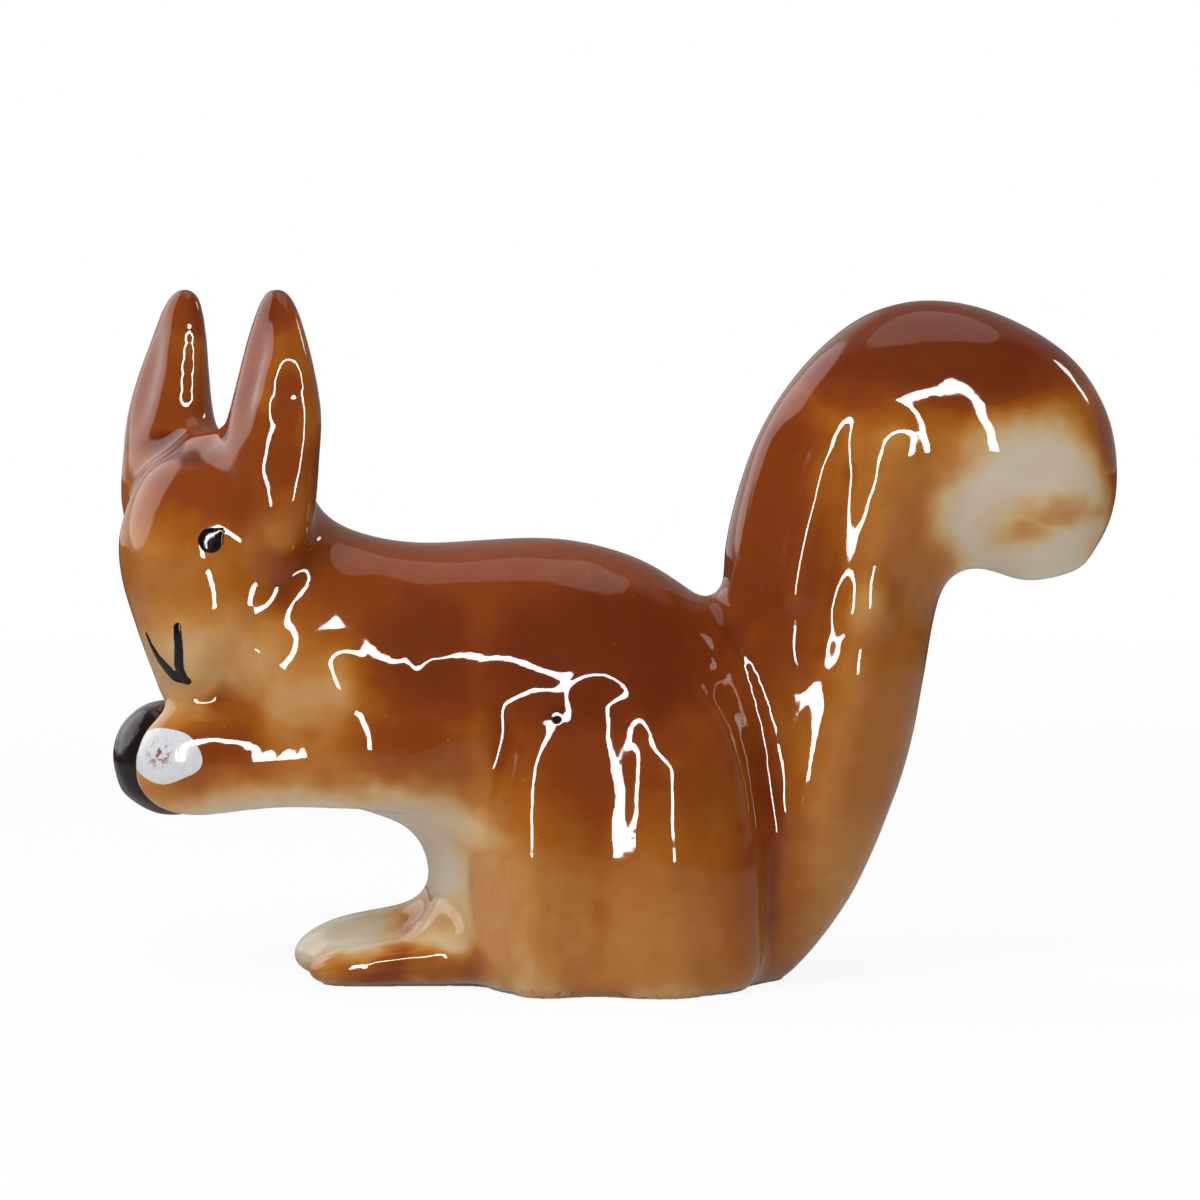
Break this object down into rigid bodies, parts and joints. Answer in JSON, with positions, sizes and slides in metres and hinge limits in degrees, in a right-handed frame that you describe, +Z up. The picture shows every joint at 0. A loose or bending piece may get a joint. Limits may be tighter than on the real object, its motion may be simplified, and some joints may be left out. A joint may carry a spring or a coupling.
{
  "type": "squirrel figurine",
  "caption": "Glazed porcelain squirrel crouching on its haunches with its head bowed over a nut held in its paws and its tail curled up behind.",
  "frame": {"origin": "on the shelf, at the middle of the whole figure's length and width", "axes": "+Z up; the squirrel looks along -X, and its left side, which the head turns towards, is at -Y"},
  "size_m": [0.0718, 0.025, 0.0496],
  "materials": {
    "brown_glaze": "airbrushed brown under clear glaze, glossy",
    "dark_enamel": "dark brown enamel, glossy",
    "black_enamel": "black enamel, glossy",
    "white_enamel": "white enamel, glossy"
  },
  "bodies": {
    "root": {"body": "brown_glaze", "tail": "brown_glaze", "head": "brown_glaze", "left_ear": "brown_glaze", "right_ear": "brown_glaze", "left_foreleg": "brown_glaze", "right_foreleg": "brown_glaze", "left_hind_foot": "brown_glaze", "right_hind_foot": "brown_glaze", "nut": "dark_enamel", "left_eye": "black_enamel", "right_eye": "black_enamel", "mouth_line": "black_enamel", "left_paw_patch": "white_enamel"}
  },
  "joints": []
}
